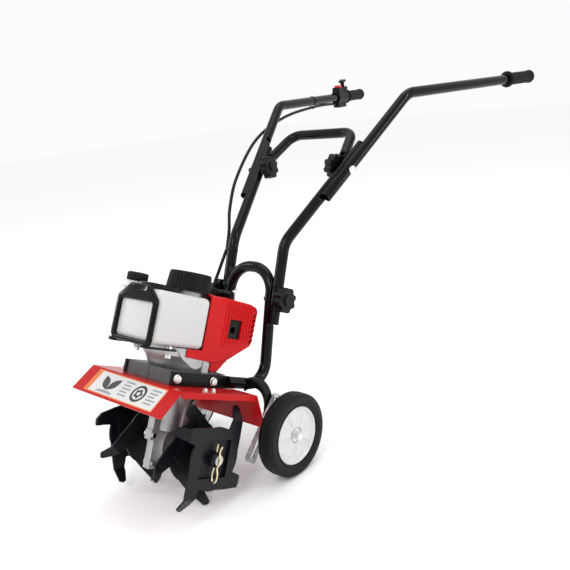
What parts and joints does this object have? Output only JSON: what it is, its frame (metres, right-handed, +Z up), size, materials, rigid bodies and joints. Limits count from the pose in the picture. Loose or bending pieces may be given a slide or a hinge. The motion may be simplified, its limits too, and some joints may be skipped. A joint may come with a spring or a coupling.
{
  "type": "mini cultivator",
  "caption": "Walk-behind mini cultivator with a small petrol engine, tine plates under a fender, transport wheels and a folding handle.",
  "frame": {"origin": "on the ground under the middle of the machine: X = 0 is its symmetry plane and Y = 0 the middle of its length", "axes": "+Z up, -Y is the front (fuel tank side), +Y points to the operator, +X is the operator's left"},
  "size_m": [0.609, 1.3276, 0.8045],
  "materials": {
    "cast_aluminium": "as cast, satin",
    "dark_casting": "cast, satin grey paint",
    "red_paint": "gloss red paint",
    "black_paint": "gloss black powder coat",
    "tine_black": "satin black paint",
    "zinc": "bright zinc plate",
    "galvanised": "galvanised sheet",
    "steel": "machined",
    "bronze": "machined bronze",
    "red_plastic": "gloss",
    "black_plastic": "satin",
    "white_plastic": "translucent milky",
    "rim_white": "satin white",
    "rubber": "matte",
    "tyre": "matte tread",
    "heat_steel": "heat-darkened"
  },
  "bodies": {
    "chassis": {"gearbox_left": "cast_aluminium", "gearbox_right": "cast_aluminium", "gearbox_bolts": "zinc", "mount_block": "dark_casting", "fender": "red_paint", "fender_screws": "zinc", "frame_hoop": "black_paint", "frame_bolts": "zinc", "lower_bolts": "zinc", "clutch_housing": "cast_aluminium", "crankcase": "cast_aluminium", "engine_cylinder": "cast_aluminium", "spark_plug": "steel", "shroud": "red_plastic", "muffler": "heat_steel", "carburettor": "cast_aluminium", "air_filter": "black_plastic", "tank": "white_plastic", "tank_guard": "black_paint", "guard_bolts": "zinc", "starter_cover": "black_plastic", "throttle_cable_lower": "rubber"},
    "fuel_cap": {"fuel_cap": "black_plastic"},
    "starter_handle": {"starter_handle": "black_plastic"},
    "crank": {"crankshaft": "steel", "flywheel": "steel", "clutch_shoes": "steel"},
    "input_shaft": {"clutch_drum": "steel", "worm_shaft": "steel"},
    "tines": {"tine_axle": "steel", "worm_wheel": "bronze", "tine_outer_left": "tine_black", "tine_inner_left": "tine_black", "tine_inner_right": "tine_black", "tine_outer_right": "tine_black", "tine_clips": "zinc"},
    "wheel_carriage": {"wheel_bar_left": "galvanised", "wheel_bar_right": "galvanised", "wheel_axle": "steel", "axle_nuts": "zinc"},
    "wheel_left": {"tyre_left": "tyre", "rim_left": "rim_white"},
    "wheel_right": {"tyre_right": "tyre", "rim_right": "rim_white"},
    "handle_lower": {"lower_tube_left": "black_paint", "lower_tube_right": "black_paint", "cross_brace": "black_paint", "upper_bolts": "zinc"},
    "handle_upper_left": {"upper_tube_left": "black_paint", "grip_left": "rubber"},
    "handle_upper_right": {"upper_tube_right": "black_paint", "grip_right": "rubber", "throttle_housing": "black_plastic", "throttle_cable_upper": "rubber"},
    "kill_switch": {"kill_switch": "red_plastic"},
    "throttle_lever": {"throttle_lever": "black_plastic"},
    "knob_lower_left": {"knob_lower_left": "black_plastic"},
    "knob_lower_right": {"knob_lower_right": "black_plastic"},
    "knob_upper_left": {"knob_upper_left": "black_plastic"},
    "knob_upper_right": {"knob_upper_right": "black_plastic"}
  },
  "joints": [
    {"name": "tine_spin", "type": "hinge", "parent": "chassis", "child": "tines", "pos_m": [0, -0.54138, 0.11509], "axis": [1, 0, 0], "continuous": true},
    {"name": "input_spin", "type": "hinge", "parent": "chassis", "child": "input_shaft", "pos_m": [0, -0.51696, 0.24525], "axis": [0, 0.4305, 0.9026], "continuous": true},
    {"name": "crank_spin", "type": "hinge", "parent": "chassis", "child": "crank", "pos_m": [0, -0.4653, 0.35357], "axis": [0, 0.4305, 0.9026], "continuous": true},
    {"name": "wheel_height", "type": "slide", "parent": "chassis", "child": "wheel_carriage", "axis": [0, -0.7303, -0.6832], "range_m": [-0.004, 0.018]},
    {"name": "wheel_left_spin", "type": "hinge", "parent": "wheel_carriage", "child": "wheel_left", "pos_m": [0.166, -0.35661, 0.089], "axis": [1, 0, 0], "continuous": true},
    {"name": "wheel_right_spin", "type": "hinge", "parent": "wheel_carriage", "child": "wheel_right", "pos_m": [-0.166, -0.35661, 0.089], "axis": [1, 0, 0], "continuous": true},
    {"name": "handle_fold", "type": "hinge", "parent": "chassis", "child": "handle_lower", "pos_m": [0, -0.25988, 0.34754], "axis": [1, 0, 0], "range_deg": [-8, 95], "deforming": ["throttle_cable_lower"]},
    {"name": "upper_left_fold", "type": "hinge", "parent": "handle_lower", "child": "handle_upper_left", "pos_m": [0.12894, -0.04215, 0.60069], "axis": [0.9737, -0.1778, -0.1428], "range_deg": [-15, 110]},
    {"name": "upper_right_fold", "type": "hinge", "parent": "handle_lower", "child": "handle_upper_right", "pos_m": [-0.12894, -0.04215, 0.60069], "axis": [0.9737, 0.1778, 0.1428], "range_deg": [-15, 110], "deforming": ["throttle_cable_upper"]},
    {"name": "knob_lower_left_turn", "type": "hinge", "parent": "chassis", "child": "knob_lower_left", "pos_m": [0.1, -0.25988, 0.34754], "axis": [1, 0, 0], "continuous": true},
    {"name": "knob_lower_right_turn", "type": "hinge", "parent": "chassis", "child": "knob_lower_right", "pos_m": [-0.1, -0.25988, 0.34754], "axis": [1, 0, 0], "continuous": true},
    {"name": "knob_upper_left_turn", "type": "hinge", "parent": "handle_lower", "child": "knob_upper_left", "pos_m": [0.09973, -0.03681, 0.60497], "axis": [0.9737, -0.1778, -0.1428], "continuous": true},
    {"name": "knob_upper_right_turn", "type": "hinge", "parent": "handle_lower", "child": "knob_upper_right", "pos_m": [-0.09973, -0.03681, 0.60497], "axis": [-0.9737, -0.1778, -0.1428], "continuous": true},
    {"name": "fuel_cap_turn", "type": "hinge", "parent": "chassis", "child": "fuel_cap", "pos_m": [-0.041, -0.52452, 0.45937], "axis": [0, 0.4305, 0.9026], "continuous": true},
    {"name": "starter_pull", "type": "slide", "parent": "chassis", "child": "starter_handle", "axis": [0, 0.9026, -0.4305], "range_m": [0, 0.6], "stiffness_N_per_m": 12, "springref_m": -0.4},
    {"name": "throttle_squeeze", "type": "hinge", "parent": "handle_upper_right", "child": "throttle_lever", "pos_m": [-0.2631, 0.53707, 0.77657], "axis": [-0.9834, -0.1637, 0.0781], "range_deg": [0, 24], "stiffness_Nm_per_rad": 0.25, "springref_deg": -14.32},
    {"name": "kill_switch_rock", "type": "hinge", "parent": "handle_upper_right", "child": "kill_switch", "pos_m": [-0.25707, 0.50256, 0.78026], "axis": [-0.9834, -0.1637, 0.0781], "range_deg": [-8, 8]}
  ],
  "couplings": [
    {"joint": "input_spin", "follows": "tine_spin", "ratio": 18}
  ]
}
